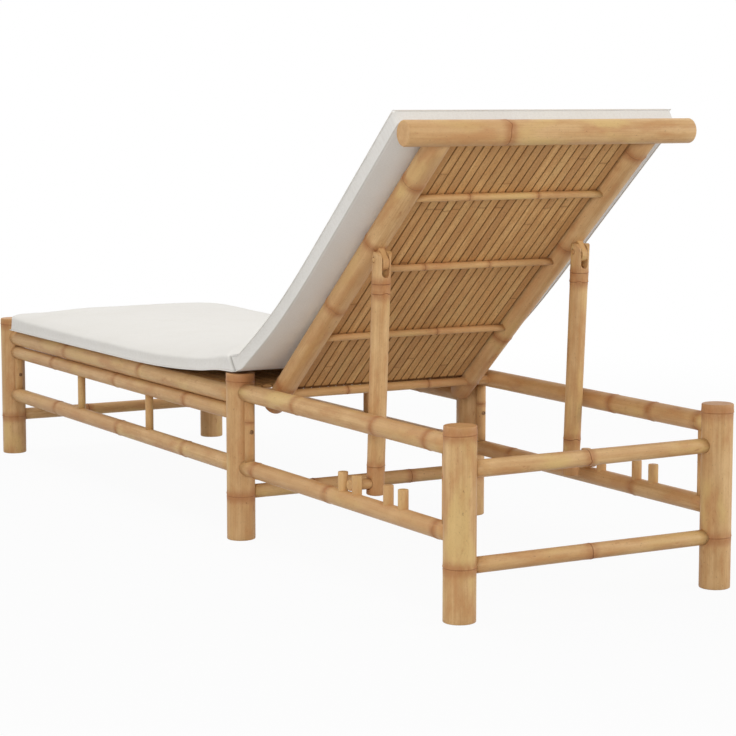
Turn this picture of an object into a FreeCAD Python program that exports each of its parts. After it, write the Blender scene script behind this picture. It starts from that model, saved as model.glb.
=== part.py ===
# Bamboo sun lounger: six posts, two side panels, a slatted seat, a hinged slatted back,
# two forked props that stand between pegs on the side rails, and a folded pad.
# The frame: +X from the foot end to the head end, +Y to the far side, +Z up.
# The origin lies on the floor, midway between the foot posts and the head posts.
# Left is the side at -Y, right is the side at +Y.
import FreeCAD, Part
import os
from math import atan2, cos, degrees, pi, radians, sin, sqrt

os.makedirs("parts", exist_ok=True)
V = FreeCAD.Vector

# Driving dimensions of the frame, in millimetres and degrees
foot_span = 1179.0            # foot posts to middle posts, centre to centre
head_span = 768.0             # middle posts to head posts, centre to centre
post_spacing = 506.0          # left posts to right posts, centre to centre
post_height = 312.5
post_diameter = 54.0
recline = 40.5                # slope of the back above the floor

# Culms: the joints of bamboo are low rings, shown here on the back and the props
ring_height = 0.8
ring_half_width = 3.5
fit = 0.2                     # glued joints, between a coped end and what it meets

# Side rails
top_rail_drop = 43.8          # centre line under the post tops
top_rail_diameter = 34.5
second_rail_gap = 0.4         # under the top rail, skin to skin
second_rail_diameter = 30.4
lower_rail_height = 136.8
lower_rail_diameter = 32.5
upper_rail_drop = 35.0        # centre line under the post tops
upper_rail_diameter = 34.5
stop_rail_height = 137.6
stop_rail_diameter = 31.8

# Whittled bars: pegs, spacers, struts and bearers have flats instead of a round skin
bar_sides = 12

# Short uprights in the side panels
spacer_diameter = 17.0
spacer_places = (411.0, 766.0)       # from the foot posts
strut_diameter = 19.0
strut_gap = 0.3

# Cross rails
lower_cross_diameter = 27.0
lower_cross_height = 87.7
upper_cross_diameter = 28.5
upper_cross_drop = 70.2       # centre line under the post tops

# Seat bed
bearer_diameter = 13.0
bearer_count = 4
seat_slat_count = 22
slat_thickness = 7.0
slat_crown = 1.2
slat_gap = 1.6
slat_edge_gap = 2.5
slat_rest = 0.1               # slats lie on their bars with this gap
seat_bed_margin = 4.0         # slat ends stand this far inside the posts' faces

# Hinge
hinge_from_middle_post = 80.0
hinge_rod_diameter = 16.0
hinge_play = 0.25
hinge_rod_past_rail = 5.0     # the rod ends this far beyond the rails' centre line

# Back frame
stile_spacing = 406.0
stile_foot_diameter = 40.5
stile_head_diameter = 42.0
stile_tail = 48.5             # from the hinge down to the stile's foot
bar_drop = 8.3                # bars and hinge rod lie this far under the stiles' centre line
bar_diameter = 13.0
bar_places = (178.0, 383.0, 578.0)   # from the hinge
head_rail_place = 741.5       # from the hinge
head_rail_drop = 3.6          # head rail under the stiles' centre line
head_rail_diameter = 43.5
head_rail_past_pad = 2.5      # at each end
back_slat_count = 21
back_slat_foot = 4.8          # slats start this far up from the hinge, just clear of its rod
head_clear = 0.4

# Props
prop_place = 447.0            # pivot pin, measured up the stile from the hinge
prop_foot_diameter = 31.5
prop_head_diameter = 33.5
prop_below_stub = 20.0
prop_slot_width = 14.0
prop_slot_depth = 29.0        # below the pin
ear_radius = 14.0
ear_clearance = 0.8
pin_diameter = 9.0
pin_play = 0.1
tongue_thickness = 11.2
tongue_width = 24.0
tongue_past_pin = 19.0
tongue_tenon = 13.0           # depth of the tongue's tenon in the stile
stub_diameter = 20.0
stub_end_past_peg = 2.0       # stub ends this far beyond the pegs' centre line
stub_tenon = 11.0
stub_rest = 0.3

# Pegs on the side rails, in pairs: a prop's stub stands between the two of a pair
peg_diameter = 18.5
peg_rise = 31.0               # above the rail
peg_pitch = 48.0              # the two pegs of a pair
high_notch = 416.0            # middle of the used pair, from the middle posts
low_notch = 570.0             # middle of the free pair, from the middle posts

# Pad, in two lengths that meet over the hinge
pad_width = 560.0
pad_border = 33.0             # height of the pad's side
pad_crown = 13.0              # rise of the top over its sides
pad_draw_in = 7.0             # sides pull in between the corners, each
pad_side_bulge = 5.0
pad_crown_share = 0.2         # the crown is full this far in from an end
pad_end_share = 0.65          # height of the end's edge against the side's
pad_end_crown_share = 0.12
pad_rest = 0.3
pad_post_clearance = 1.0
pad_foot_gap = 15.0           # seat pad to the foot posts' faces
pad_raise_clearance = 1.2
back_pad_start = 5.0          # up from the hinge, clear of the upper rails when raised
back_pad_head_inset = 5.5     # the pad ends before the head rail's centre line
raise_limit = 15.0            # the back lifts this far before a stub meets the upper rail

# Places that follow from the sizes above
x_foot = -(foot_span + head_span) / 2
x_middle = x_foot + foot_span
x_head = x_middle + head_span
y_post = post_spacing / 2
y_stile = stile_spacing / 2
post_radius = post_diameter / 2
top_rail_height = post_height - top_rail_drop
second_rail_height = top_rail_height - (top_rail_diameter + second_rail_diameter) / 2 - second_rail_gap
upper_rail_height = post_height - upper_rail_drop
slope = radians(recline)
hinge_x = x_middle + hinge_from_middle_post
hinge_z = upper_rail_height
sides = {"left": -1, "right": 1}


def cylinder(start, end, diameter):
    """A plain round bar between two points."""
    run = end.sub(start)
    return Part.makeCylinder(diameter / 2, run.Length, start, run)


def whittled_bar(start, end, diameter):
    """A many-sided bar between two points, its corners on the diameter."""
    run = end.sub(start)
    corners = [V(diameter / 2 * cos(2 * pi * i / bar_sides), diameter / 2 * sin(2 * pi * i / bar_sides), 0)
               for i in range(bar_sides)]
    bar = Part.Face(Part.makePolygon(corners + corners[:1])).extrude(V(0, 0, run.Length))
    bar.Placement = FreeCAD.Placement(start, FreeCAD.Rotation(V(0, 0, 1), run))
    return bar


def step_radii(start_diameter, end_diameter, ring_shares):
    """Radius of each length between rings, from one end of a culm to the other."""
    spans = max(1, len(ring_shares))
    return [(start_diameter + (end_diameter - start_diameter) * i / spans) / 2
            for i in range(len(ring_shares) + 1)]


def radius_at(share, start_diameter, end_diameter, ring_shares):
    """Radius of a culm at a share of its length, away from its rings."""
    return step_radii(start_diameter, end_diameter, ring_shares)[sum(share > ring for ring in ring_shares)]


def culm(start, end, start_diameter, end_diameter, ring_shares):
    """A bamboo culm that steps from one width to the other at its rings."""
    run = end.sub(start)
    length = run.Length
    radii = step_radii(start_diameter, end_diameter, ring_shares)
    outline = [V(0, 0, 0), V(radii[0], 0, 0)]
    for share, below, above in zip(ring_shares, radii, radii[1:]):
        z = share * length
        outline += [V(below, 0, z - ring_half_width),
                    V(max(below, above) + ring_height, 0, z),
                    V(above, 0, z + ring_half_width)]
    outline += [V(radii[-1], 0, length), V(0, 0, length), outline[0]]
    solid = Part.Face(Part.makePolygon(outline)).revolve(V(0, 0, 0), V(0, 0, 1), 360)
    solid.Placement = FreeCAD.Placement(start, FreeCAD.Rotation(V(0, 0, 1), run))
    return solid


def cope(shape, *blanks):
    """Cut the ends of a piece to the shapes that it meets."""
    return shape.cut(Part.makeCompound(blanks))


def back_point(along, above, y):
    """A point in the back's own lines: along the slope from the hinge, and square to it."""
    return V(hinge_x + along * cos(slope) - above * sin(slope), y,
             hinge_z + along * sin(slope) + above * cos(slope))


def post(x, y, grow=0.0):
    """A post, or with grow the room that it takes from the pieces that lap against it."""
    return cylinder(V(x, y, 0), V(x, y, post_height), post_diameter + 2 * grow)


# Side rails: height, diameter and the two ends
side_rails = {
    "foot_top": (top_rail_height, top_rail_diameter, x_foot, x_middle),
    "foot_second": (second_rail_height, second_rail_diameter, x_foot, x_middle),
    "foot_lower": (lower_rail_height, lower_rail_diameter, x_foot, x_middle),
    "head_upper": (upper_rail_height, upper_rail_diameter, x_middle, x_head),
    "head_lower": (stop_rail_height, stop_rail_diameter, x_middle, x_head),
}


def side_rail(name, y, grow=0.0):
    """A side rail before its ends are coped. grow makes a blank to cut a saddle with."""
    z, diameter, start, end = side_rails[name]
    return cylinder(V(start, y, z), V(end, y, z), diameter + 2 * grow)


def peg_places():
    half = peg_pitch / 2
    return [x_middle + notch + step for notch in (high_notch, low_notch) for step in (-half, half)]


def peg(x, y, grow=0.0):
    top = stop_rail_height + stop_rail_diameter / 2 + peg_rise
    return whittled_bar(V(x, y, stop_rail_height), V(x, y, top), peg_diameter + 2 * grow)


# Struts stand against the posts. Each is named by its post and the side of the post that it stands on.
strut_offset = post_radius + strut_gap + strut_diameter / 2


def strut_sites(panel):
    if panel == "foot":
        return [(x_foot, 1), (x_middle, -1)]
    return [(x_middle, 1), (x_head, -1)]


def strut_levels(panel):
    if panel == "foot":
        return lower_rail_height, second_rail_height
    return stop_rail_height, upper_rail_height


strut_rails = {"foot": ("foot_lower", "foot_second"), "head": ("head_lower", "head_upper")}

pieces = {}

posts = {"foot": x_foot, "middle": x_middle, "head": x_head}
for side, sign in sides.items():
    for name, x in posts.items():
        pieces[f"{name}_post_{side}"] = post(x, sign * y_post)

# Hinge rod: the lowest bar of the back, fixed in both stiles, turning in a blind hole in each upper rail
rod_reach = y_post + hinge_rod_past_rail


def hinge_rod(grow=0.0):
    return cylinder(V(hinge_x, -rod_reach - grow, hinge_z), V(hinge_x, rod_reach + grow, hinge_z),
                    hinge_rod_diameter + 2 * grow)


pieces["hinge_rod"] = hinge_rod()

for side, sign in sides.items():
    y = sign * y_post
    for name in side_rails:
        start, end = side_rails[name][-2:]
        rail = cope(side_rail(name, y), post(start, y, fit), post(end, y, fit))
        if name == "head_upper":
            rail = rail.cut(hinge_rod(hinge_play))
        if name == "head_lower":
            rail = cope(rail, *[peg(x, y, fit) for x in peg_places()])
        pieces[f"{name}_rail_{side}"] = rail
    pieces[f"stop_pegs_{side}"] = Part.makeCompound([peg(x, y) for x in peg_places()])

    spacers = []
    for place in spacer_places:
        x = x_foot + place
        bar = whittled_bar(V(x, y, lower_rail_height), V(x, y, second_rail_height), spacer_diameter)
        spacers.append(cope(bar, side_rail("foot_second", y, fit), side_rail("foot_lower", y, fit)))
    pieces[f"rail_spacers_{side}"] = Part.makeCompound(spacers)

    for panel in strut_rails:
        low, high = strut_levels(panel)
        low_rail, high_rail = strut_rails[panel]
        struts = []
        for x, way in strut_sites(panel):
            x_strut = x + way * strut_offset
            bar = whittled_bar(V(x_strut, y, low), V(x_strut, y, high), strut_diameter)
            struts.append(cope(bar, side_rail(low_rail, y, fit), side_rail(high_rail, y, fit)))
        pieces[f"{panel}_panel_struts_{side}"] = Part.makeCompound(struts)

# Cross rails between left and right posts
levels = {
    "lower": (lower_cross_height, lower_cross_diameter),
    "upper": (post_height - upper_cross_drop, upper_cross_diameter),
}
for name, level in (("foot", "lower"), ("middle", "lower"), ("head", "lower"), ("head", "upper")):
    x = posts[name]
    z, diameter = levels[level]
    rail = cylinder(V(x, -y_post, z), V(x, y_post, z), diameter)
    saddles = [post(x, way * y_post, fit) for way in sides.values()]
    pieces[f"{level}_cross_rail_{name}"] = cope(rail, *saddles)


def slat(length, width):
    """A split-bamboo strip along X with a crowned top, its underside at z = 0."""
    side_height = slat_thickness - slat_crown
    a = V(0, -width / 2, 0)
    b = V(0, width / 2, 0)
    c = V(0, width / 2, side_height)
    d = V(0, -width / 2, side_height)
    crown = Part.Arc(c, V(0, 0, slat_thickness), d).toShape()
    edges = [Part.makeLine(a, b), Part.makeLine(b, c), crown, Part.makeLine(d, a)]
    return Part.Face(Part.Wire(edges)).extrude(V(length, 0, 0))


def slat_row(count, inner_width, length):
    """Strips side by side across the width, centred on y = 0."""
    pitch = (inner_width + slat_gap) / count
    strips = []
    for i in range(count):
        strip = slat(length, pitch - slat_gap)
        strip.translate(V(0, (i - (count - 1) / 2) * pitch, 0))
        strips.append(strip)
    return Part.makeCompound(strips)


# Seat bed: thin bearers between the top rails, and strips along the seat
bed_start = x_foot + post_radius + seat_bed_margin
bed_end = x_middle - post_radius - seat_bed_margin
bearers = []
for i in range(bearer_count):
    x = bed_start + (i + 0.5) * (bed_end - bed_start) / bearer_count
    bar = whittled_bar(V(x, -y_post, top_rail_height), V(x, y_post, top_rail_height), bearer_diameter)
    bearers.append(cope(bar, side_rail("foot_top", -y_post, fit), side_rail("foot_top", y_post, fit)))
pieces["seat_bearers"] = Part.makeCompound(bearers)
bed_inner = post_spacing - top_rail_diameter - 2 * slat_edge_gap
seat_slats = slat_row(seat_slat_count, bed_inner, bed_end - bed_start)
seat_slats.translate(V(bed_start, 0, top_rail_height + bearer_diameter / 2 + slat_rest))
pieces["seat_slats"] = seat_slats

# Back frame
stile_axis = bar_drop
stile_ring_shares = (0.56,)


def stile_radius(along):
    share = (along + stile_tail) / (head_rail_place + stile_tail)
    return radius_at(share, stile_foot_diameter, stile_head_diameter, stile_ring_shares)


def stile(y):
    return culm(back_point(-stile_tail, stile_axis, y), back_point(head_rail_place, stile_axis, y),
                stile_foot_diameter, stile_head_diameter, stile_ring_shares)


def stile_blank(along, y):
    return cylinder(back_point(-stile_tail, stile_axis, y), back_point(head_rail_place, stile_axis, y),
                    2 * (stile_radius(along) + fit))


head_rail_above = stile_axis - head_rail_drop
head_rail_half = pad_width / 2 + head_rail_past_pad
head_rail_ends = [back_point(head_rail_place, head_rail_above, way * head_rail_half) for way in (-1, 1)]


def head_rail():
    return culm(*head_rail_ends, head_rail_diameter, head_rail_diameter, (0.71,))


pieces["head_rail"] = head_rail()
for name, along in zip(("lower", "middle", "upper"), bar_places):
    bar = cylinder(back_point(along, 0, -y_stile), back_point(along, 0, y_stile), bar_diameter)
    pieces[f"{name}_back_bar"] = cope(bar, stile_blank(along, -y_stile), stile_blank(along, y_stile))

slat_turn = FreeCAD.Rotation(V(0, 1, 0), -recline)
slat_above = bar_diameter / 2 + slat_rest
rail_above = head_rail_above - slat_above
rail_reach = head_rail_diameter / 2 + ring_height
slat_top_end = head_rail_place - sqrt(rail_reach ** 2 - rail_above ** 2) - head_clear
if slat_thickness > rail_above:
    slat_top_end = head_rail_place - rail_reach - head_clear
slat_inner = stile_spacing - stile_head_diameter - 2 * (ring_height + slat_edge_gap)
back_slats = slat_row(back_slat_count, slat_inner, slat_top_end - back_slat_foot)
back_slats.Placement = FreeCAD.Placement(back_point(back_slat_foot, slat_above, 0), slat_turn)
pieces["back_slats"] = back_slats

# Prop geometry: the pin hangs under the stile, and the stub stands on the lower rail
slot_half = prop_slot_width / 2
stile_at_ear = sqrt(stile_radius(prop_place) ** 2 - slot_half ** 2)
pin_above = stile_axis - stile_at_ear - ear_radius - ear_clearance
pin_point = back_point(prop_place, pin_above, 0)
stub_x = x_middle + high_notch
stub_z = stop_rail_height + stop_rail_diameter / 2 + stub_rest + stub_diameter / 2
prop_run = V(pin_point.x - stub_x, 0, pin_point.z - stub_z)
prop_length = prop_run.Length
prop_lean = atan2(prop_run.x, prop_run.z)
prop_ring_shares = (0.86,)


def prop_place_of(y):
    """The prop's own lines: its foot stub at the origin, and its pin up along Z."""
    return FreeCAD.Placement(V(stub_x, y, stub_z), FreeCAD.Rotation(V(0, 1, 0), degrees(prop_lean)))


def fork_outline():
    """The fork seen along Y: straight flanks that draw in to a round head about the pin."""
    flank = prop_head_diameter / 2 + ring_height
    neck = prop_length - prop_slot_depth
    low = -prop_below_stub - ear_radius
    left = [V(-ear_radius, 0, prop_length), V(-flank, 0, neck), V(-flank, 0, low)]
    right = [V(flank, 0, low), V(flank, 0, neck), V(ear_radius, 0, prop_length)]
    crown = Part.Arc(right[-1], V(0, 0, prop_length + ear_radius), left[0]).toShape()
    return Part.Wire(Part.makePolygon(left + right).Edges + [crown])


def prop_pole(y):
    top = prop_length + 2 * ear_radius
    pole = culm(V(0, 0, -prop_below_stub), V(0, 0, top), prop_foot_diameter, prop_head_diameter,
                prop_ring_shares)
    depth = prop_head_diameter + 2 * ring_height
    outline = Part.Face(fork_outline()).extrude(V(0, depth, 0))
    outline.translate(V(0, -depth / 2, 0))
    pole = pole.common(outline)
    slot_bottom = prop_length - prop_slot_depth + slot_half
    slot = Part.makeBox(depth, prop_slot_width, top - slot_bottom,
                        V(-depth / 2, -slot_half, slot_bottom))
    round_end = cylinder(V(-depth / 2, 0, slot_bottom), V(depth / 2, 0, slot_bottom), prop_slot_width)
    pole = pole.cut(slot).cut(round_end)
    pole = pole.cut(cylinder(V(0, -depth, prop_length), V(0, depth, prop_length), pin_diameter + 2 * fit))
    way = 1 if y > 0 else -1
    socket = prop_foot_diameter / 2 - stub_tenon
    pole = pole.cut(cylinder(V(0, way * (socket - fit), 0), V(0, way * depth, 0), stub_diameter + 2 * fit))
    pole.Placement = prop_place_of(y)
    return pole


def prop_stub(y):
    way = 1 if y > 0 else -1
    inner = y + way * (prop_foot_diameter / 2 - stub_tenon)
    outer = way * (y_post + stub_end_past_peg)
    return cylinder(V(stub_x, inner, stub_z), V(stub_x, outer, stub_z), stub_diameter)


def pin(y, grow=0.0):
    half = prop_head_diameter / 2 + grow
    return cylinder(V(pin_point.x, y - half, pin_point.z), V(pin_point.x, y + half, pin_point.z),
                    pin_diameter + 2 * grow)


def tongue(y, grow=0.0):
    """A flat cheek that hangs square to the stile, with a tenon in it and a round end past the pin."""
    half = tongue_width / 2 + grow
    tip = pin_above - tongue_past_pin
    shoulder = tip + tongue_width / 2
    root = stile_axis - stile_radius(prop_place) + tongue_tenon + grow
    a = back_point(prop_place - half, root, 0)
    b = back_point(prop_place - half, shoulder, 0)
    c = back_point(prop_place, tip - grow, 0)
    d = back_point(prop_place + half, shoulder, 0)
    e = back_point(prop_place + half, root, 0)
    edges = [Part.makeLine(a, b), Part.Arc(b, c, d).toShape(), Part.makeLine(d, e), Part.makeLine(e, a)]
    thick = tongue_thickness + 2 * grow
    plate = Part.Face(Part.Wire(edges)).extrude(V(0, thick, 0))
    plate.translate(V(0, y - thick / 2, 0))
    return plate


for side, sign in sides.items():
    y = sign * y_stile
    body = cope(stile(y), cylinder(*head_rail_ends, head_rail_diameter + 2 * fit))
    pieces[f"back_stile_{side}"] = body.cut(hinge_rod(fit)).cut(tongue(y, fit))
    pieces[f"prop_tongue_{side}"] = tongue(y).cut(pin(y, pin_play))
    pieces[f"prop_pole_{side}"] = prop_pole(y)
    pieces[f"prop_stub_{side}"] = prop_stub(y)
    pieces[f"prop_pin_{side}"] = pin(y)


def pad_section(along, base, width, border, crown):
    """One cross-section of a pad: a flat underside, round sides and a crowned top."""
    half = width / 2
    inset = pad_side_bulge
    a = V(along, -half + inset, base)
    b = V(along, half - inset, base)
    c = V(along, half - inset, base + border)
    d = V(along, -half + inset, base + border)
    edges = [Part.makeLine(a, b),
             Part.Arc(b, V(along, half, base + border / 2), c).toShape(),
             Part.Arc(c, V(along, 0, base + border + crown), d).toShape(),
             Part.Arc(d, V(along, -half, base + border / 2), a).toShape()]
    return Part.Wire(edges)


pad_stations = (0.0, 0.02, 0.1, 0.35, 0.65, 0.8, 0.94, 0.98, 1.0)


def pad(length, rise_at):
    """A crowned pad along X from x = 0. rise_at gives its underside's height at a share of its length."""
    sections = []
    for share in pad_stations:
        from_end = min(share, 1 - share)
        at_end = from_end == 0
        swell = min(1, from_end / pad_crown_share) ** 0.5
        width = pad_width - 2 * pad_draw_in * sin(pi * share) - (2 * pad_side_bulge if at_end else 0)
        border = pad_border * (pad_end_share if at_end else 1)
        crown = pad_crown * max(swell, pad_end_crown_share)
        sections.append(pad_section(share * length, rise_at(share), width, border, crown))
    return Part.makeLoft(sections, True, True)


# Seat pad: flat on the top rails, then up over the middle posts
seat_base = top_rail_height + top_rail_diameter / 2 + pad_rest
post_base = post_height + pad_post_clearance
seat_start = x_foot + post_radius + pad_foot_gap
back_pad_base = stile_axis + stile_radius(head_rail_place) + ring_height + pad_rest
raised = radians(recline + raise_limit)
pad_corner = back_pad_base + pad_border
seat_end = hinge_x + back_pad_start * cos(raised) - pad_corner * sin(raised) - pad_raise_clearance
climb = post_base - seat_base
climb_start_share = 0.45
climb_end_share = 0.94


def seat_rise(share):
    step = (share - climb_start_share) / (climb_end_share - climb_start_share)
    return climb * min(1, max(0, step)) ** 2


seat_pad = pad(seat_end - seat_start, seat_rise)
seat_pad.translate(V(seat_start, 0, seat_base))
pieces["seat_cushion"] = seat_pad

# Back pad: on the stiles and over the head rail
back_pad = pad(head_rail_place - back_pad_head_inset - back_pad_start, lambda share: 0.0)
back_pad.Placement = FreeCAD.Placement(back_point(back_pad_start, back_pad_base, 0), slat_turn)
pieces["back_cushion"] = back_pad

for name, shape in pieces.items():
    shape.exportStep(f"parts/{name}.step")
print(len(pieces), "pieces, prop length", round(prop_length, 1), "lean", round(degrees(prop_lean), 2))
print("pin", [round(c, 1) for c in pin_point], "stub", round(stub_x, 1), round(stub_z, 1))
print("hinge", round(hinge_x, 1), round(hinge_z, 1), "seat pad end", round(seat_end, 1))
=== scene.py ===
import bmesh
import bpy
import math
import random
from mathutils import Matrix, Vector, noise


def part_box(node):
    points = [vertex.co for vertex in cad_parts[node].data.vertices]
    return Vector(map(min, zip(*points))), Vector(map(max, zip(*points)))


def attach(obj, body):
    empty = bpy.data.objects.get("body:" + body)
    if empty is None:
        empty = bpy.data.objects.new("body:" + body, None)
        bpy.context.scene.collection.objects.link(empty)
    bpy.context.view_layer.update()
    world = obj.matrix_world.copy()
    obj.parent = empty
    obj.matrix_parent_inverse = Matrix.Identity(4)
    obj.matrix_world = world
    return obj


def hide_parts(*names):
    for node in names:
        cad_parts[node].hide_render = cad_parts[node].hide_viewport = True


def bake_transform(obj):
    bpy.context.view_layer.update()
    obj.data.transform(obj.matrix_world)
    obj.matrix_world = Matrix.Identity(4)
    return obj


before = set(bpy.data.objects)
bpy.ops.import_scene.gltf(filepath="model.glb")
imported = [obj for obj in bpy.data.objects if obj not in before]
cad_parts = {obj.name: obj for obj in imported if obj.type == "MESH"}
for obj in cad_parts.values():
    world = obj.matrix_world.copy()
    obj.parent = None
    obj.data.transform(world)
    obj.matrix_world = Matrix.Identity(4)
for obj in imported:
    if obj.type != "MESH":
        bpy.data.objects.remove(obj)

scene = bpy.context.scene
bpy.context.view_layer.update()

# Places in metres, as the solids have them. +X runs to the head end, and left is the side at -Y.
sides = {"left": -1, "right": 1}
postX = {"foot": -0.9735, "middle": 0.2055, "head": 0.9735}
place = {
    "ySide": 0.253,  # middle of a side panel
    "yStile": 0.203,  # middle of a stile, a prop and a tongue
    "slope": math.radians(40.5),  # of the back
    "hinge": Vector((0.2855, 0, 0.2775)),
    "pin": Vector((0.64248, 0, 0.54781)),
    "stub": Vector((0.6215, 0, 0.1638)),
}


def backPoint(along, above, y=0.0):
    # A place on the back: along it from the hinge, and above the hinge's line
    slope = place["slope"]
    return place["hinge"] + Vector((along * math.cos(slope) - above * math.sin(slope), y,
                                    along * math.sin(slope) + above * math.cos(slope)))


def clamped(value):
    return min(1, max(0, value))


def bell(offset, width):
    return math.exp(-(offset / width) ** 2)


def srgb(r, g, b):
    return tuple(((c / 255 + 0.055) / 1.055) ** 2.4 if c > 10 else c / 3294.6 for c in (r, g, b)) + (1.0,)


# Shader building: a socket that does sums, and one method for every other node
class Flow:
    def __init__(self, tree, socket):
        self.tree = tree
        self.socket = socket

    def sum(self, operation, *values):
        made = self.tree.nodes.new("ShaderNodeMath")
        made.operation = operation
        for slot, value in zip(made.inputs, (self,) + values):
            self.tree.join(value, slot)
        return Flow(self.tree, made.outputs[0])

    def __add__(self, other):
        return self.sum("ADD", other)

    def __sub__(self, other):
        return self.sum("SUBTRACT", other)

    def __mul__(self, other):
        return self.sum("MULTIPLY", other)

    def __rsub__(self, other):
        return self * -1.0 + other

    __radd__ = __add__
    __rmul__ = __mul__

    def above(self, low, high):
        return self.tree.node("MapRange", {"Value": self, "From Min": low, "From Max": high},
                              interpolation_type="SMOOTHSTEP")


class Nodes:  # of a material or of the world
    def __init__(self, tree):
        self.nodes = tree.nodes
        self.links = tree.links

    def join(self, value, slot):
        if isinstance(value, Flow):
            self.links.new(value.socket, slot)
        else:
            slot.default_value = value

    def node(self, kind, values=(), out=0, **settings):
        made = self.nodes.new("ShaderNode" + kind)
        for key, value in settings.items():
            setattr(made, key, value)
        for key, value in dict(values).items():
            self.join(value, made.inputs[key])
        return Flow(self, made.outputs[out])

    def seenDirectly(self):
        # 1 for what the camera sees, also by reflection, and 0 for light on its way to the lounger
        camera, glossy, through = [self.node("LightPath", out=f"Is {kind} Ray")
                                   for kind in ("Camera", "Glossy", "Transmission")]
        return (camera + glossy + through).sum("MINIMUM", 1.0)


class Finish(Nodes):
    def __init__(self, name, **constants):
        self.material = bpy.data.materials.new(name)
        self.material.use_nodes = True
        super().__init__(self.material.node_tree)
        self.surface = self.nodes["Principled BSDF"]
        self.show(**constants)

    def attribute(self, name, out="Fac"):
        return self.node("Attribute", out=out, attribute_name=name)

    def noise(self, vector, scale, detail=2.0, roughness=0.5):
        stretched = self.node("VectorMath", {0: vector, 1: scale}, operation="MULTIPLY")
        return self.node("TexNoise", {"Vector": stretched, "Scale": 1.0, "Detail": detail,
                                      "Roughness": roughness})

    def mix(self, share, first, second):
        return self.node("Mix", {0: share, 6: first, 7: second}, out=2, data_type="RGBA")

    def bump(self, height, strength, distance, normal=None):
        values = {"Height": height, "Strength": strength, "Distance": distance}
        if normal:
            values["Normal"] = normal
        return self.node("Bump", values)

    def show(self, **sockets):
        for socket, value in sockets.items():
            self.join(value, self.surface.inputs[socket.replace("_", " ")])
        return self.material


# Bamboo: each noise has its scales twice across the grain and once along it, its detail and its roughness
bambooGrain = {
    "fibre": ((620, 620, 9), 3, 0.5), "hair": ((1900, 1900, 22), 2, 0.5),
    "streak": ((120, 120, 3.5), 3, 0.5), "cloud": ((38, 38, 13), 4, 0.6),
    "broad": ((21, 21, 7.5), 3, 0.5), "patch": ((60, 60, 24), 5, 0.65),
    "fleck": ((330, 330, 170), 2, 0.5), "grain": ((560, 560, 240), 2, 0.5),
}
culmLook = {
    "light": srgb(228, 191, 139), "dark": srgb(199, 153, 102), "toned": srgb(205, 158, 108),
    "pale": srgb(223, 190, 126), "honey": srgb(200, 147, 97), "rust": srgb(172, 112, 68),
    "stainedAndShaded": srgb(184, 128, 82), "scar": srgb(116, 74, 46),
    "streak": 0.42, "paleShare": 0.7, "toneShare": 0.45, "cloudShare": 0.62, "patchShare": 0.68,
    "fleckShare": 0.45, "bandReach": 0.019, "bandShare": 0.85, "lineShare": 0.7, "grain": 0.1,
    "roughness": 0.45, "relief": 0.3, "specular": 0.22,
}
rodLook = dict(culmLook, light=srgb(224, 183, 126), patchShare=0.3, bandReach=0.008, lineShare=0.5,
               roughness=0.48)
# On the strips the stain colour is mostly painted shade, at their feet and on their sides
stripLook = dict(culmLook, light=srgb(243, 197, 133), dark=srgb(211, 160, 101), toned=srgb(186, 135, 84),
                 pale=srgb(220, 178, 118), honey=srgb(192, 138, 84), rust=srgb(158, 102, 60),
                 scar=srgb(104, 68, 38), stainedAndShaded=srgb(92, 60, 30), streak=0.55, toneShare=0.6,
                 cloudShare=0.3, patchShare=0.4, bandReach=0.005, bandShare=0.3, lineShare=0.55, grain=0.34,
                 roughness=0.58, relief=0.6, specular=0.25)


def bambooFinish(name, look):
    made = Finish(name, Specular_IOR_Level=look["specular"])
    skin = made.attribute("skin", out="Vector")
    gap = made.attribute("ringGap")
    tone = made.attribute("tone")
    stain = made.attribute("stain")
    fibre, hair, streak, cloud, broad, patch, fleck, grain = [
        made.noise(skin, *settings) for settings in bambooGrain.values()]

    share = (fibre * 0.28 + streak * look["streak"] + cloud * 0.62).above(0.4, 0.82)
    colour = made.mix(share, look["light"], look["dark"])
    colour = made.mix(broad.above(0.5, 0.68) * look["paleShare"], colour, look["pale"])
    colour = made.mix(tone.above(0.1, 1.0) * look["toneShare"], colour, look["toned"])
    colour = made.mix(cloud.above(0.5, 0.72) * look["cloudShare"], colour, look["honey"])
    colour = made.mix(patch.above(0.62, 0.76) * look["patchShare"], colour, look["rust"])
    colour = made.mix(fleck.above(0.68, 0.76) * look["fleckShare"], colour, look["scar"])
    # Around a ring: a reddish band whose edge wanders, and a dark line where the sheath grew
    wander = gap + (patch - 0.5) * 0.018
    band = (1.0 - wander.above(0.0005, look["bandReach"])) * (0.45 + patch.above(0.36, 0.62) * 0.55)
    colour = made.mix(band * look["bandShare"], colour, look["rust"])
    line = (1.0 - gap.above(0.0002, 0.0012)) * (0.3 + cloud * 1.2)
    colour = made.mix(line * look["lineShare"], colour, look["scar"])
    # Stains, and painted shade where the stile's tail and the strips are darkened
    colour = made.mix(stain * (0.5 + patch * 0.8), colour, look["stainedAndShaded"])
    colour = made.mix(grain.above(0.52, 0.72) * look["grain"], colour, look["scar"])
    rough = look["roughness"] + (fibre - 0.5) * 0.16 + band * 0.1
    relief = made.bump(hair * 0.35 + fibre * 0.65, look["relief"], 0.0006)
    relief = made.bump(cloud, 0.25, 0.004, relief)
    return made.show(Base_Color=colour, Roughness=rough, Normal=relief)


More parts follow.
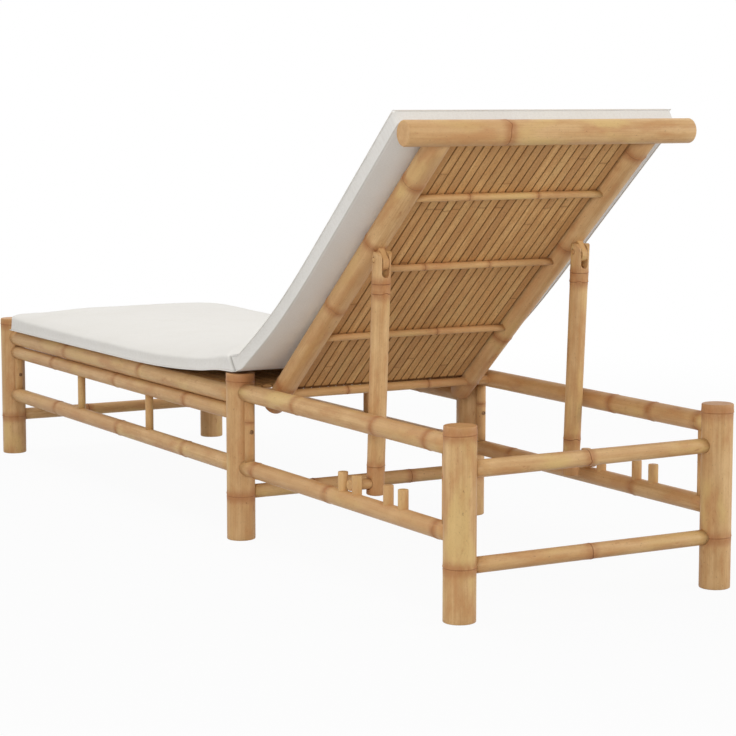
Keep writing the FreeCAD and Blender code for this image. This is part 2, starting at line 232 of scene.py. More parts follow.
def endGrainFinish():
    made = Finish("EndGrain", Specular_IOR_Level=0.3)
    where = made.node("TexCoord", out="Object")
    dots = made.node("TexVoronoi", {"Vector": where, "Scale": 900.0})
    cloud = made.noise(where, (60, 60, 60), 3)
    pores = 1.0 - dots.above(0.1, 0.42)
    colour = made.mix(cloud.above(0.35, 0.7), srgb(214, 178, 134), srgb(190, 150, 106))
    colour = made.mix(pores * 0.45, colour, srgb(140, 98, 62))
    # Stains and painted shade carry on to the end faces
    colour = made.mix(made.attribute("stain") * 0.9, colour, srgb(112, 78, 48))
    return made.show(Base_Color=colour, Roughness=0.75 - pores * 0.1, Normal=made.bump(dots, 0.3, 0.0005))


def steelFinish():
    made = Finish("BoltSteel", Metallic=1.0)
    cloud = made.noise(made.node("TexCoord", out="Object"), (500, 500, 500), 3)
    colour = made.mix(cloud.above(0.3, 0.8), srgb(150, 116, 84), srgb(104, 76, 52))
    return made.show(Base_Color=colour, Roughness=0.42 + cloud * 0.2)


culmSkin = bambooFinish("CulmSkin", culmLook)
rodSkin = bambooFinish("RodSkin", rodLook)
stripSkin = bambooFinish("StripSkin", stripLook)
endGrain = endGrainFinish()
boltSteel = steelFinish()
print("finishes", len(bpy.data.materials))

# Culms: each is built in place, with its origin at the frame's
culm = {  # what a culm has where its own values say nothing else
    "rings": (), "ringHeight": 0.0009, "segments": 40, "rowPitch": 0.022, "edge": 0.0016, "bow": 0.0005,
    "stains": (), "tones": None,  # a stain, and likewise a patch of painted shade, is its start, its end, its soft edge and its strength
    "oval": 0.00022, "step": 0.0003,  # out of round, and thicker or thinner past a ring, on a post
    "endClear": 0.003, "rowMerge": 0.00025,
    "wornShares": ((0.0, 1.0), (0.35, 0.35), (1.1, 0.0)),  # of the edge: how far in, and how much is worn off
}
ring = {
    "reach": 0.016,  # how far its wandering bends the rows beside it
    "far": 0.03, "sway": (0.0003, 0.0009), "dip": (0.0015, 0.0038), "budWidth": 0.3, "swayRadius": 0.02,
    "rows": (-0.014, -0.009, -0.006, -0.0038, -0.0024, -0.0016, -0.0009, -0.0003,
             0.0003, 0.0009, 0.0014, 0.0021, 0.0032, 0.005, 0.008, 0.013),
}
postRadius = 0.027
skinInset = 0.0004  # the skin lies this far inside the solid, and the rings rise to it


def lengthwise(start, end):
    # The way along a line, and two ways across it
    axis = (end - start).normalized()
    across = axis.orthogonal().normalized()
    return axis, across, axis.cross(across)


def meet(centre, axis, radius):
    return {"centre": Vector(centre), "axis": Vector(axis).normalized(), "radius": radius}


def reach(point, direction, target, last):
    # Distance along a line to the skin of a round piece that it butts against
    axis = target["axis"]
    offset = point - target["centre"]
    a = direction - axis * direction.dot(axis)
    b = offset - axis * offset.dot(axis)
    half = a.dot(b)
    root = math.sqrt(max(0.0, half * half - a.dot(a) * (b.dot(b) - target["radius"] ** 2)))
    return (-half - root if last else -half + root) / a.dot(a)


def ringSwell(gap, height):
    # A soft swelling, with a sharp lip on one side of a fine groove
    swelling = 0.55 * bell(gap, 0.006)
    lip = 0.6 * bell(gap - 0.0012, 0.0011)
    groove = 0.45 * bell(gap + 0.0009, 0.0008)
    return height * (swelling + lip - groove)


def ringBends(seed, count):
    # How each ring's line wanders round its culm, and where its bud pulls it aside
    rng = random.Random(seed * 13 + 5)
    return [{"phase": rng.uniform(0, math.tau), "bud": rng.uniform(0, math.tau),
             "sway": rng.uniform(*ring["sway"]), "dip": rng.uniform(*ring["dip"])} for _ in range(count)]


def drift(bend, angle, radius):
    turn = (angle - bend["bud"] + math.pi) % math.tau - math.pi
    sway = bend["sway"] * math.sin(angle + bend["phase"])
    return (sway + bend["dip"] * bell(turn, ring["budWidth"])) * radius / ring["swayRadius"]


def ringGap(along, at, shift):
    # Distance from a ring whose line is shifted here, and less and less further off
    gap = along - at
    for _ in range(5):
        gap = along - at - shift * max(0.0, 1 - abs(gap) / ring["reach"])
    return gap


def spunMesh(rows, turns, put):
    # A line of vertices is spun into a tube, and then each one is put where its row and turn belong
    mesh = bmesh.new()
    line = [mesh.verts.new((1, 0, row)) for row in range(rows)]
    edges = [mesh.edges.new(pair) for pair in zip(line, line[1:])]
    bmesh.ops.spin(mesh, geom=line + edges, cent=(0, 0, 0), axis=(0, 0, 1), angle=math.tau, steps=turns,
                   use_merge=True)
    rowOf = [round(vert.co.z) for vert in mesh.verts]
    mesh.verts.index_update()
    spans = {face: [rowOf[vert.index] for vert in face.verts] for face in mesh.faces}
    for vert, row in zip(mesh.verts, rowOf):
        turn = round(math.atan2(vert.co.y, vert.co.x) / math.tau * turns) % turns
        vert.co = put(row, turn)
    return mesh, spans


def openEdges(mesh):
    return [edge for edge in mesh.edges if edge.is_boundary]


def finished(mesh, name):
    # Doubles merged, faces turned outwards, and the mesh handed over
    bmesh.ops.remove_doubles(mesh, verts=mesh.verts, dist=1e-6)
    bmesh.ops.recalc_face_normals(mesh, faces=mesh.faces)
    data = bpy.data.meshes.new(name)
    mesh.to_mesh(data)
    mesh.free()
    return data


def culmMesh(start, end, values, seed, meets=(None, None), **own):
    values = {**culm, **values, **own}
    start, end = Vector(start), Vector(end)
    axis, across, other = lengthwise(start, end)
    length = (end - start).length
    firstRadius, lastRadius = values["radii"]
    segments, edge = values["segments"], values["edge"]
    size = firstRadius / postRadius
    rng = random.Random(seed)
    # Two draws more than the turns need, because each culm's steps come after them
    bowTurn, ovalTurn = [rng.uniform(0, math.tau) for _ in range(4)][:2]
    ringAt = [share * length for share in values["rings"]]
    steps = [0.0] + [rng.uniform(-values["step"], values["step"]) for _ in ringAt]
    bends = ringBends(seed, len(ringAt))
    angles = [math.tau * i / segments for i in range(segments)]

    def outward(angle):
        return across * math.cos(angle) + other * math.sin(angle)

    def radiusAt(along, angle):
        base = firstRadius + (lastRadius - firstRadius) * along / length - skinInset
        count = sum(along > at for at in ringAt)
        oval = values["oval"] * size * math.cos(2 * angle + ovalTurn + count)
        swell = sum(ringSwell(ringGap(along, at, drift(bend, angle, firstRadius)), values["ringHeight"])
                    for at, bend in zip(ringAt, bends) if abs(along - at) < ring["far"])
        return base + steps[count] * size + oval + swell

    def bent(along):
        # A row of points that follows the wandering line of a ring close by
        for at, bend in zip(ringAt, bends):
            if abs(along - at) < ring["reach"]:
                share = 1 - abs(along - at) / ring["reach"]
                return [along + drift(bend, angle, firstRadius) * share for angle in angles]
        return [along] * segments

    def loopAt(alongs, worn=0.0):
        made = []
        for angle, along in zip(angles, alongs):
            bow = outward(bowTurn) * values["bow"] * math.sin(math.pi * clamped(along / length))
            made.append(start + axis * along + bow + outward(angle) * (radiusAt(along, angle) - worn))
        return made

    def endLoops(index):
        # The coped line against another piece, or a sawn end with its worn edge, from its face inwards
        at = index * length
        if meets[index] is None:
            way = 1 - 2 * index
            return [at] * segments, [loopAt([at + way * edge * share] * segments, edge * worn)
                                     for share, worn in values["wornShares"]]
        radius = radiusAt(at, 0)
        line = [reach(start + outward(angle) * radius, axis, meets[index], index == 1) for angle in angles]
        return line, [loopAt(line)]

    def cap(loop):
        # An end is closed through a smaller loop
        centre = sum(loop, Vector()) / segments
        return [[centre] * segments, [centre.lerp(point, 0.5) for point in loop]]

    firstLine, firstLoops = endLoops(0)
    lastLine, lastLoops = endLoops(1)
    low, high = max(firstLine), min(lastLine)
    count = max(1, round((high - low) / values["rowPitch"]))
    rows = [at + step for at in ringAt for step in ring["rows"]]
    rows += [low + (high - low) * i / count for i in range(1, count)]
    rows = sorted(row for row in rows if low + values["endClear"] < row < high - values["endClear"])
    rows = [row for i, row in enumerate(rows) if i == 0 or row - rows[i - 1] > values["rowMerge"]]
    loops = firstLoops + [loopAt(bent(row)) for row in rows] + lastLoops[::-1]
    loops = cap(loops[0]) + loops + cap(loops[-1])[::-1]
    last = len(loops) - 1
    mesh, spans = spunMesh(len(loops), segments, lambda row, turn: loops[row][turn])
    for face, rowsHere in spans.items():
        face.smooth = 2 < max(rowsHere) and min(rowsHere) < last - 2
        face.material_index = 0 if face.smooth else 1  # the ends show end grain
    data = finished(mesh, "culm")
    writeSkin(data, start, end, ringAt, seed, firstRadius, values["stains"], values["tones"])
    return data


def stainAndShadeAt(along, stains):
    return max((share * clamped((along - low) / soft + 0.5) * clamped((high - along) / soft + 0.5)
                for low, high, soft, share in stains), default=0.0)


def writeSkin(data, start, end, ringAt, seed, radius=0.0, stains=(), tones=None):
    # Grain coordinates, the distance to the nearest ring, a tone for each length between rings, and stains
    # together with painted shade
    axis, across, other = lengthwise(start, end)
    rng = random.Random(seed * 7 + 3)
    drawn = [rng.random() for _ in range(len(ringAt) + 1)]
    tones = tones or drawn
    shift = Vector((rng.uniform(-3, 3), rng.uniform(-3, 3), rng.uniform(-9, 9)))
    bends = ringBends(seed, len(ringAt))
    skin, gaps, tone, stain = [], [], [], []
    for vertex in data.vertices:
        offset = vertex.co - start
        a, b, along = offset.dot(across), offset.dot(other), offset.dot(axis)
        skin.extend(Vector((a, b, along)) + shift)
        gap, count = 1.0, 0
        for at, bend in zip(ringAt, bends):
            own = along - at
            if abs(own) < ring["far"]:
                own = ringGap(along, at, drift(bend, math.atan2(b, a), radius))
            gap = min(gap, abs(own))
            count += own > 0
        gaps.append(gap)
        tone.append(tones[count])
        stain.append(stainAndShadeAt(along, stains))
    writeLayer(data, "skin", skin, "FLOAT_VECTOR")
    writeLayer(data, "ringGap", gaps)
    writeLayer(data, "tone", tone)
    writeLayer(data, "stain", stain)


def writeLayer(data, name, values, kind="FLOAT"):
    layer = data.attributes.get(name) or data.attributes.new(name, kind, "POINT")
    layer.data.foreach_set("vector" if kind == "FLOAT_VECTOR" else "value", values)


def linked(name, data):
    made = bpy.data.objects.new(name, data)
    scene.collection.objects.link(made)
    return made


def piece(name, meshes, body, finishes, nodes):
    # One object of one or more meshes that rides on a body and stands for its nodes
    parts = []
    for data in meshes:
        data.materials.clear()
        for finish in finishes:
            data.materials.append(finish)
        parts.append(linked(name, data))
    made = parts[0]
    if len(parts) > 1:
        with bpy.context.temp_override(active_object=made, selected_editable_objects=parts,
                                       selected_objects=parts):
            bpy.ops.object.join()
    made.name = name
    if body:
        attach(made, body)
    if nodes:
        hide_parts(*nodes)
    return made


def polePiece(name, meshes, body, node):
    return piece(name, meshes, body, [culmSkin, endGrain], [node])


def rodPiece(name, meshes, body, node):
    return piece(name, meshes, body, [rodSkin, endGrain], [node])


seeds = iter(range(11, 400))

# Posts
post = {
    "radii": (postRadius, postRadius), "height": 0.3125, "ringHeight": 0.0007, "segments": 48,
    "rowPitch": 0.012, "bow": 0,
    "stains": ((0.2965, 0.32, 0.001, 0.6), (0.286, 0.3, 0.012, 0.25), (0.074, 0.09, 0.01, 0.45)),
    "ringShares": {"foot": (0.27, 0.955), "middle": (0.262, 0.95), "head": (0.28, 0.952)},
    "toneOf": {"foot": None, "middle": (0.7, 0.5, 0.9), "head": (0.05, 0.2, 0.7)},
}
for side, sign in sides.items():
    for name, x in postX.items():
        y = sign * place["ySide"]
        data = culmMesh((x, y, 0), (x, y, post["height"]), post, next(seeds),
                        rings=post["ringShares"][name], tones=post["toneOf"][name])
        polePiece(f"{name}Post.{side}", [data], "base", f"{name}_post_{side}")


def upright(x, y, clear):
    return meet((x, y, 0), (0, 0, 1), postRadius + clear)


# Side rails, each between two posts, with rings of its own on the left and on the right
railClear = 0.0001
rails = {
    "foot_top": {"z": 0.2687, "radii": (0.01675, 0.01725), "posts": ("foot", "middle"),
                 "left": (0.295, 0.63), "right": (0.18, 0.42, 0.7)},
    "foot_second": {"z": 0.23585, "radii": (0.0148, 0.0152), "posts": ("foot", "middle"),
                    "left": (0.227, 0.52, 0.81), "right": (0.3, 0.58, 0.84)},
    "foot_lower": {"z": 0.1368, "radii": (0.0158, 0.01625), "posts": ("foot", "middle"),
                   "left": (0.241, 0.531, 0.803), "right": (0.16, 0.4, 0.67, 0.9)},
    "head_upper": {"z": 0.2775, "radii": (0.0168, 0.01725), "posts": ("middle", "head"),
                   "left": (0.3, 0.667, 0.89), "right": (0.625, 0.775, 0.945)},
    "head_lower": {"z": 0.1376, "radii": (0.0155, 0.0159), "posts": ("middle", "head"),
                   "left": (0.09, 0.455, 0.925), "right": (0.2, 0.71)},
}
for name, rail in rails.items():
    for side, sign in sides.items():
        y = sign * place["ySide"]
        here, there = [postX[end] for end in rail["posts"]]
        data = culmMesh((here, y, rail["z"]), (there, y, rail["z"]), rail, next(seeds),
                        (upright(here, y, railClear), upright(there, y, railClear)),
                        rings=rail[side], ringHeight=0.0007)
        polePiece(f"{name.replace('_', '')}Rail.{side}", [data], "base", f"{name}_rail_{side}")


def railTarget(rail, y):
    return meet((0, y, rail["z"]), (1, 0, 0), max(rail["radii"]) - skinInset)


def betweenRails(x, y, low, high, values, seed):
    # A short upright, coped to the rails below and above it
    targets = (railTarget(low, y), railTarget(high, y))
    return culmMesh((x, y, low["z"]), (x, y, high["z"]), values, seed, targets)


# Short uprights: spacers, struts and pegs
spacer = {"radii": (0.0085, 0.0085), "fromFoot": (0.411, 0.766), "segments": 28, "bow": 0}
strut = {"radii": (0.0095, 0.0095), "clear": 0.0003, "ringHeight": 0.0004, "segments": 30, "bow": 0}
panels = {  # rails below and above, rings of the struts, and the post and the way inwards at each end
    "foot": {"rails": (rails["foot_lower"], rails["foot_second"]), "rings": (),
             "sites": ((postX["foot"], 1), (postX["middle"], -1))},
    "head": {"rails": (rails["head_lower"], rails["head_upper"]), "rings": (0.62,),
             "sites": ((postX["middle"], 1), (postX["head"], -1))},
}
peg = {"radii": (0.00925, 0.00925), "low": 0.138, "rise": 0.031, "segments": 30, "bow": 0, "edge": 0.0012,
       "notches": (0.416, 0.57), "halfPitch": 0.024}
pegTop = rails["head_lower"]["z"] + rails["head_lower"]["radii"][1] + peg["rise"]
for side, sign in sides.items():
    y = sign * place["ySide"]
    data = [betweenRails(postX["foot"] + at, y, *panels["foot"]["rails"], spacer, next(seeds))
            for at in spacer["fromFoot"]]
    rodPiece(f"railSpacers.{side}", data, "base", f"rail_spacers_{side}")
    offset = postRadius + strut["clear"] + strut["radii"][0]
    for name, panel in panels.items():
        values = dict(strut, rings=panel["rings"])
        data = [betweenRails(x + way * offset, y, *panel["rails"], values, next(seeds))
                for x, way in panel["sites"]]
        rodPiece(f"{name}PanelStruts.{side}", data, "base", f"{name}_panel_struts_{side}")
    pegs = [postX["middle"] + notch + way * peg["halfPitch"] for notch in peg["notches"] for way in (-1, 1)]
    data = [culmMesh((x, y, peg["low"]), (x, y, pegTop), peg, next(seeds)) for x in pegs]
    rodPiece(f"stopPegs.{side}", data, "base", f"stop_pegs_{side}")

# Cross rails, from the left side to the right
crossClear = 0.0002
crossRails = {
    "lower": {"z": (0.0877, 0.0877), "radii": (0.0135, 0.0133),
              "at": {"foot": (0.36,), "middle": (0.3, 0.72), "head": (0.4875,)}},
    "upper": {"z": (0.2414, 0.243), "radii": (0.0147, 0.0127), "at": {"head": (0.475,)}},
}
for level, rail in crossRails.items():
    for end, rings in rail["at"].items():
        x, y = postX[end], place["ySide"]
        data = culmMesh((x, -y, rail["z"][0]), (x, y, rail["z"][1]), rail, next(seeds),
                        (upright(x, -y, crossClear), upright(x, y, crossClear)),
                        rings=rings, ringHeight=0.0006, segments=36)
        polePiece(f"{level}CrossRail.{end}", [data], "base", f"{level}_cross_rail_{end}")

# Back frame: places are given along the back from the hinge, and above the hinge's line
headRail = {
    "along": 0.7415, "above": 0.0047, "half": 0.2825, "radii": (0.02175, 0.02175), "rings": (0.337,),
    "ringHeight": 0.0006, "segments": 48, "edge": 0.002, "stains": ((0.186, 0.204, 0.01, 0.35),),
}
stile = {
    "tail": -0.0485, "above": 0.0083, "radii": (0.0202, 0.021), "ringHeight": 0.0008, "segments": 48,
    # The stile's tail, up to 3 cm past the hinge, is darkened with painted shade
    "stains": ((-0.02, 0.03, 0.04, 0.95),), "seat": 0.0216, "barSeat": 0.0201,
    "left": (0.09, 0.402, 0.633, 0.841), "right": (0.06, 0.249, 0.6, 0.929),
}
bar = {
    "radii": (0.0065, 0.0065), "ringHeight": 0.0004, "segments": 28,
    "at": {"lower": (0.178, (0.598,)), "middle": (0.383, (0.3, 0.626)), "upper": (0.578, (0.294, 0.633))},
}
hingeRod = {"half": 0.258, "radii": (0.0087, 0.0087), "rings": (0.36, 0.7), "ringHeight": 0.0003,
            "segments": 28, "bow": 0}
stileEnds = [backPoint(stile["tail"], stile["above"]), backPoint(headRail["along"], stile["above"])]
headRailEnds = [backPoint(headRail["along"], headRail["above"], way * headRail["half"]) for way in (-1, 1)]
polePiece("headRail", [culmMesh(*headRailEnds, headRail, next(seeds))], "backrest", "head_rail")
for side, sign in sides.items():
    low, high = [end + Vector((0, sign * place["yStile"], 0)) for end in stileEnds]
    data = culmMesh(low, high, stile, next(seeds), (None, meet(headRailEnds[0], (0, 1, 0), stile["seat"])),
                    rings=stile[side])
    polePiece(f"backStile.{side}", [data], "backrest", f"back_stile_{side}")


def stileTarget(sign):
    low, high = stileEnds
    return meet(low + Vector((0, sign * place["yStile"], 0)), high - low, stile["barSeat"])


for name, (along, rings) in bar["at"].items():
    low, high = [backPoint(along, 0, sign * place["yStile"]) for sign in (-1, 1)]
    data = culmMesh(low, high, bar, next(seeds), (stileTarget(-1), stileTarget(1)), rings=rings)
    rodPiece(f"{name}BackBar", [data], "backrest", f"{name}_back_bar")
rodEnds = [backPoint(0, 0, way * hingeRod["half"]) for way in (-1, 1)]
rodPiece("hingeRod", [culmMesh(*rodEnds, hingeRod, next(seeds))], "backrest", "hinge_rod")

# Split strips: crowned above, with worn edges, nodes and slightly uneven sides
strip = {
    "thickness": 0.0069, "crown": 0.0012, "soft": 0.0009, "lengths": 26,
    "footRows": (0.0, 0.0008, 0.003, 0.0059, 0.0064, 0.0074, 0.0088),
    "nodeRows": (-0.004, -0.0015, -0.0006, 0, 0.0006, 0.0015, 0.004),
    "notch": 0.0003, "notchWidth": 0.0009, "endWear": 0.0006, "endRow": 0.0008, "waver": 0.00025,
    "lastGap": 0.0016, "gap": 0.002, "moreGap": 0.0008, "footGap": 0.00004,
    "nodeSway": 0.004, "nodesApart": 0.05, "sharedNodes": 0.6, "ownNodes": (0, 1, 1),
    # Painted shade darkens a strip's first 7.5 mm, where its foot meets the hinge rod, and the strip is a
    # little darker up to 10 cm from the foot; gapShade is painted shade on the sawn sides
    "stains": ((-1, 0.0075, 0.002, 1.0), (-1, 0.1, 0.3, 0.2)), "gapShade": 0.42,
}


def stripMesh(length, half, rings, seed, foot, footHalf):
    # The foot is a first stretch where the strips stand closer together
    rng = random.Random(seed)
    soft, top = strip["soft"], strip["thickness"]
    shoulder = top - strip["crown"]
    flank = [(half - soft, 0.0), (half, soft), (half, shoulder - soft), (half - soft, shoulder),
             (half * 0.5, top - strip["crown"] * 0.25)]
    section = flank + [(0, top)] + [(-y, z) for y, z in flank[::-1]]
    rows = {*strip["footRows"], length - strip["endRow"], length}
    rows |= {length * i / strip["lengths"] for i in range(1, strip["lengths"])}
    rows = sorted(rows | {at + step for at in rings for step in strip["nodeRows"]})
    phase = rng.uniform(0, 99)
    loops = []
    for x in rows:
        gap = min((abs(x - at) for at in rings), default=1)
        worn = strip["notch"] * bell(gap, strip["notchWidth"])
        worn += strip["endWear"] if x in (0.0, length) else 0.0
        side, squeeze, lift = strip["waver"] * noise.noise(Vector((x * 14, phase, 0))), 1 - worn / half, worn
        if x < foot:
            side, squeeze, lift = 0.0, footHalf / half, 0.0
        loops.append([(x, y * squeeze + side, max(z, lift) if z < top / 2 else z - worn)
                      for y, z in section])
    mesh, spans = spunMesh(len(rows), len(section), lambda row, turn: loops[row][turn])
    for face in bmesh.ops.holes_fill(mesh, edges=openEdges(mesh))["faces"]:
        face.material_index = 1
    data = finished(mesh, "strip")
    writeSkin(data, Vector((0, 0, 0)), Vector((length, 0, 0)), rings, seed, stains=strip["stains"])
    # Painted shade on the sawn sides of a strip, for the gaps between strips
    for vertex, layer in zip(data.vertices, data.attributes["stain"].data):
        if soft - 1e-5 < vertex.co.z < shoulder - soft + 1e-5:
            layer.value = max(layer.value, strip["gapShade"])
    return data


def stripRow(values, inner, length, matrix, foot=0.0):
    # Strips side by side: some nodes line up from strip to strip, and some are a strip's own
    rng = random.Random(values["seed"])
    count = values["count"]
    pitch = (inner + strip["lastGap"]) / count
    made = []
    for i in range(count):
        sway = strip["nodeSway"]
        shared = [at + rng.uniform(-sway, sway) for at in values["nodes"]
                  if rng.random() < strip["sharedNodes"]]
        own = [rng.uniform(0.05, 0.95) * length for _ in range(rng.choice(strip["ownNodes"]))]
        rings = sorted(shared + own)
        rings = [at for k, at in enumerate(rings) if k == 0 or at - rings[k - 1] > strip["nodesApart"]]
        width = pitch - strip["gap"] - rng.uniform(0, strip["moreGap"])
        seed = values["seed"] * 100 + i
        data = stripMesh(length, width / 2, rings, seed, foot, pitch / 2 - strip["footGap"])
        data.transform(matrix @ Matrix.Translation((0, (i - (count - 1) / 2) * pitch, 0)))
        made.append(data)
    return made


backSlat = {"count": 21, "inner": 0.3574, "foot": 0.006, "start": 0.0048, "above": 0.0066, "nodes": (0.53,),
            "solidThickness": 0.007, "seed": 5}
seatSlat = {"count": 22, "nodes": (0.3, 0.8), "seed": 8}
bearer = {"count": 4, "radii": (0.0065, 0.0065), "rings": (0.35, 0.8), "ringHeight": 0.0003, "segments": 24}
slopeTurn = Matrix.Rotation(-place["slope"], 4, "Y")
low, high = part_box("back_slats")
slatLength = high.x - low.x - backSlat["solidThickness"] * math.sin(place["slope"])
slatLength /= math.cos(place["slope"])
matrix = Matrix.Translation(backPoint(backSlat["start"], backSlat["above"])) @ slopeTurn
data = stripRow(backSlat, backSlat["inner"], slatLength, matrix, backSlat["foot"])
piece("backSlats", data, "backrest", [stripSkin, endGrain], ["back_slats"])
low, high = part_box("seat_slats")
matrix = Matrix.Translation((low.x, 0, low.z))
data = stripRow(seatSlat, high.y - low.y, high.x - low.x, matrix)
piece("seatSlats", data, "base", [stripSkin, endGrain], ["seat_slats"])
data = []
for i in range(bearer["count"]):
    x, y, z = low.x + (i + 0.5) * (high.x - low.x) / bearer["count"], place["ySide"], rails["foot_top"]["z"]
    targets = [railTarget(rails["foot_top"], -y), railTarget(rails["foot_top"], y)]
    data.append(culmMesh((x, -y, z), (x, y, z), bearer, next(seeds), targets))
rodPiece("seatBearers", data, "base", "seat_bearers")


# Props: a culm whose head is sawn to a rounded fork
def prism(outline, low, high, axis="Y"):
    # An outline in X and Z, from low to high along Y, or the same turned to X
    mesh = bmesh.new()
    corners = [mesh.verts.new((a, low, b) if axis == "Y" else (low, a, b)) for a, b in outline]
    edges = [mesh.edges.new(pair) for pair in zip(corners, corners[1:] + corners[:1])]
    face = bmesh.ops.contextual_create(mesh, geom=edges)["faces"]
    grown = bmesh.ops.extrude_face_region(mesh, geom=face)["geom"]
    way = (0, high - low, 0) if axis == "Y" else (high - low, 0, 0)
    corners = [part for part in grown if isinstance(part, bmesh.types.BMVert)]
    bmesh.ops.translate(mesh, vec=way, verts=corners)
    return finished(mesh, "prism")


def arc(x, z, radius, first, last, steps):
    angles = [math.radians(first + (last - first) * i / steps) for i in range(steps + 1)]
    return [(x + radius * math.cos(angle), z + radius * math.sin(angle)) for angle in angles]


def circle(z, radius, count):
    return arc(0, z, radius, 0, 360, count)[:-1]


sliver = 4e-5


def carved(data, cuts, bevel):
    # The mesh after a chain of cuts, with its sawn edges eased
    made = linked("work", data)
    helpers = []
    for operation, cutter in cuts:
        helpers.append(linked("cutter", cutter))
        change = made.modifiers.new("cut", "BOOLEAN")
        change.operation = operation
        change.object = helpers[-1]
        change.solver = "EXACT"
    ease = made.modifiers.new("ease", "BEVEL")
    ease.width = bevel
    ease.segments = 2
    ease.limit_method = "ANGLE"
    ease.angle_limit = math.radians(50)
    ease.use_clamp_overlap = True
    graph = bpy.context.evaluated_depsgraph_get()
    mesh = bmesh.new()
    mesh.from_mesh(made.evaluated_get(graph).data)
    for helper in helpers + [made]:
        bpy.data.objects.remove(helper)
    # Slivers that the cuts leave are merged, and what they open is closed
    bmesh.ops.remove_doubles(mesh, verts=mesh.verts, dist=sliver)
    bmesh.ops.dissolve_degenerate(mesh, edges=mesh.edges, dist=sliver / 4)
    bmesh.ops.holes_fill(mesh, edges=openEdges(mesh))
    return finished(mesh, "carved")


prop = {  # along the prop, 0 is the stub's middle
    "radii": (0.01575, 0.01675), "ringHeight": 0.0007, "segments": 56, "rowPitch": 0.012, "bow": 0,
    "below": 0.02, "ear": 0.014, "slotHalf": 0.007, "slotDepth": 0.029, "pinHole": 0.0049,
    "socket": 0.0102, "socketFloor": 0.0049, "overrun": 0.05, "flankClear": 0.001, "eased": 0.0007,
    "left": (0.03, 0.327, 0.344), "right": (0.045, 0.33, 0.347),
    # Darker at the prop's foot, and in a band between its two upper rings
    "skinDarkening": ((-1, 0.045, 0.02, 0.6), (0.346, 0.362, 0.006, 0.25)),
}
stub = {"radii": (0.01, 0.01), "inner": 0.00475, "outer": 0.255, "segments": 32, "bow": 0}
pin = {"radii": (0.0045, 0.0045), "half": 0.0166, "segments": 24, "edge": 0.0009, "bow": 0}
tongue = {"along": 0.447, "half": 0.012, "thickHalf": 0.0056, "belowAxis": 0.009, "tip": 0.019,
          "eased": 0.0008}
propRun = place["pin"] - place["stub"]
propTurn = Matrix.Rotation(math.atan2(propRun.x, propRun.z), 4, "Y")


def propPoleMesh(seed, rings, sign):
    length, over, ear = propRun.length, prop["overrun"], prop["ear"]
    foot, top = Vector((0, 0, -prop["below"])), Vector((0, 0, length + ear * 2))
    whole = prop["below"] + length + ear * 2
    rings = [at + prop["below"] for at in rings]
    data = culmMesh(foot, top, prop, seed, rings=[at / whole for at in rings])
    neck = length - prop["slotDepth"]
    flank = prop["radii"][1] + prop["flankClear"]
    head = [(-flank, -over), (flank, -over), (flank, neck)]
    head += arc(0, length, ear, 0, 180, 16) + [(-flank, neck)]
    half = prop["slotHalf"]
    slot = arc(0, neck + half, half, 180, 360, 12) + [(half, length + over), (-half, length + over)]
    hole = circle(length, prop["pinHole"], 24)
    socket = circle(0, prop["socket"], 30)
    wayOut = sorted((sign * prop["socketFloor"], sign * over))
    cuts = [("INTERSECT", prism(head, -over, over)), ("DIFFERENCE", prism(slot, -over, over, "X")),
            ("DIFFERENCE", prism(hole, -over, over)), ("DIFFERENCE", prism(socket, *wayOut))]
    data = carved(data, cuts, prop["eased"])
    writeSkin(data, foot, Vector((0, 0, length + over)), rings, seed, prop["radii"][0], prop["skinDarkening"])
    return data


def tongueMesh(seed):
    # The cheek that hangs from the stile into the fork
    along, half = tongue["along"], tongue["half"]
    tip = (place["pin"] - place["hinge"]).dot(backPoint(0, 1) - place["hinge"]) - tongue["tip"]
    root = stile["above"] - tongue["belowAxis"]
    cheek = [(along + half, root), (along - half, root)] + arc(along, tip + half, half, 180, 360, 14)
    data = carved(prism(cheek, -tongue["thickHalf"], tongue["thickHalf"]), [], tongue["eased"])
    writeSkin(data, Vector((along, 0, tip)), Vector((along, 0, root)), [], seed)
    return data


for side, sign in sides.items():
    y = sign * place["yStile"]
    body = f"prop_{side}"
    data = propPoleMesh(next(seeds), prop[side], sign)
    data.transform(Matrix.Translation(place["stub"] + Vector((0, y, 0))) @ propTurn)
    polePiece(f"propPole.{side}", [data], body, f"prop_pole_{side}")
    x, _, z = place["stub"]
    data = culmMesh((x, y + sign * stub["inner"], z), (x, sign * stub["outer"], z), stub, next(seeds))
    rodPiece(f"propStub.{side}", [data], body, f"prop_stub_{side}")
    x, _, z = place["pin"]
    data = culmMesh((x, y - pin["half"], z), (x, y + pin["half"], z), pin, next(seeds))
    rodPiece(f"propPin.{side}", [data], body, f"prop_pin_{side}")
    data = tongueMesh(next(seeds))
    data.transform(Matrix.Translation(place["hinge"] + Vector((0, y, 0))) @ slopeTurn)
    piece(f"propTongue.{side}", [data], "backrest", [rodSkin], [f"prop_tongue_{side}"])

# Bolt heads on the struts' outer faces
bolt = {"radius": 0.004, "height": 0.0016, "steps": 20, "z": {"foot": 0.1855, "head": 0.2065},
        "profileShares": ((0, 0.35), (0.42, 0.35), (0.5, 1), (0.82, 1), (1, 0.6), (1, 0), (0, 0))}


def boltMesh():
    mesh = bmesh.new()
    verts = [mesh.verts.new((r * bolt["radius"], 0, z * bolt["height"])) for r, z in bolt["profileShares"]]
    edges = [mesh.edges.new(pair) for pair in zip(verts, verts[1:])]
    bmesh.ops.spin(mesh, geom=verts + edges, cent=(0, 0, 0), axis=(0, 0, 1), angle=math.tau,
                   steps=bolt["steps"], use_merge=True)
    return finished(mesh, "bolt")


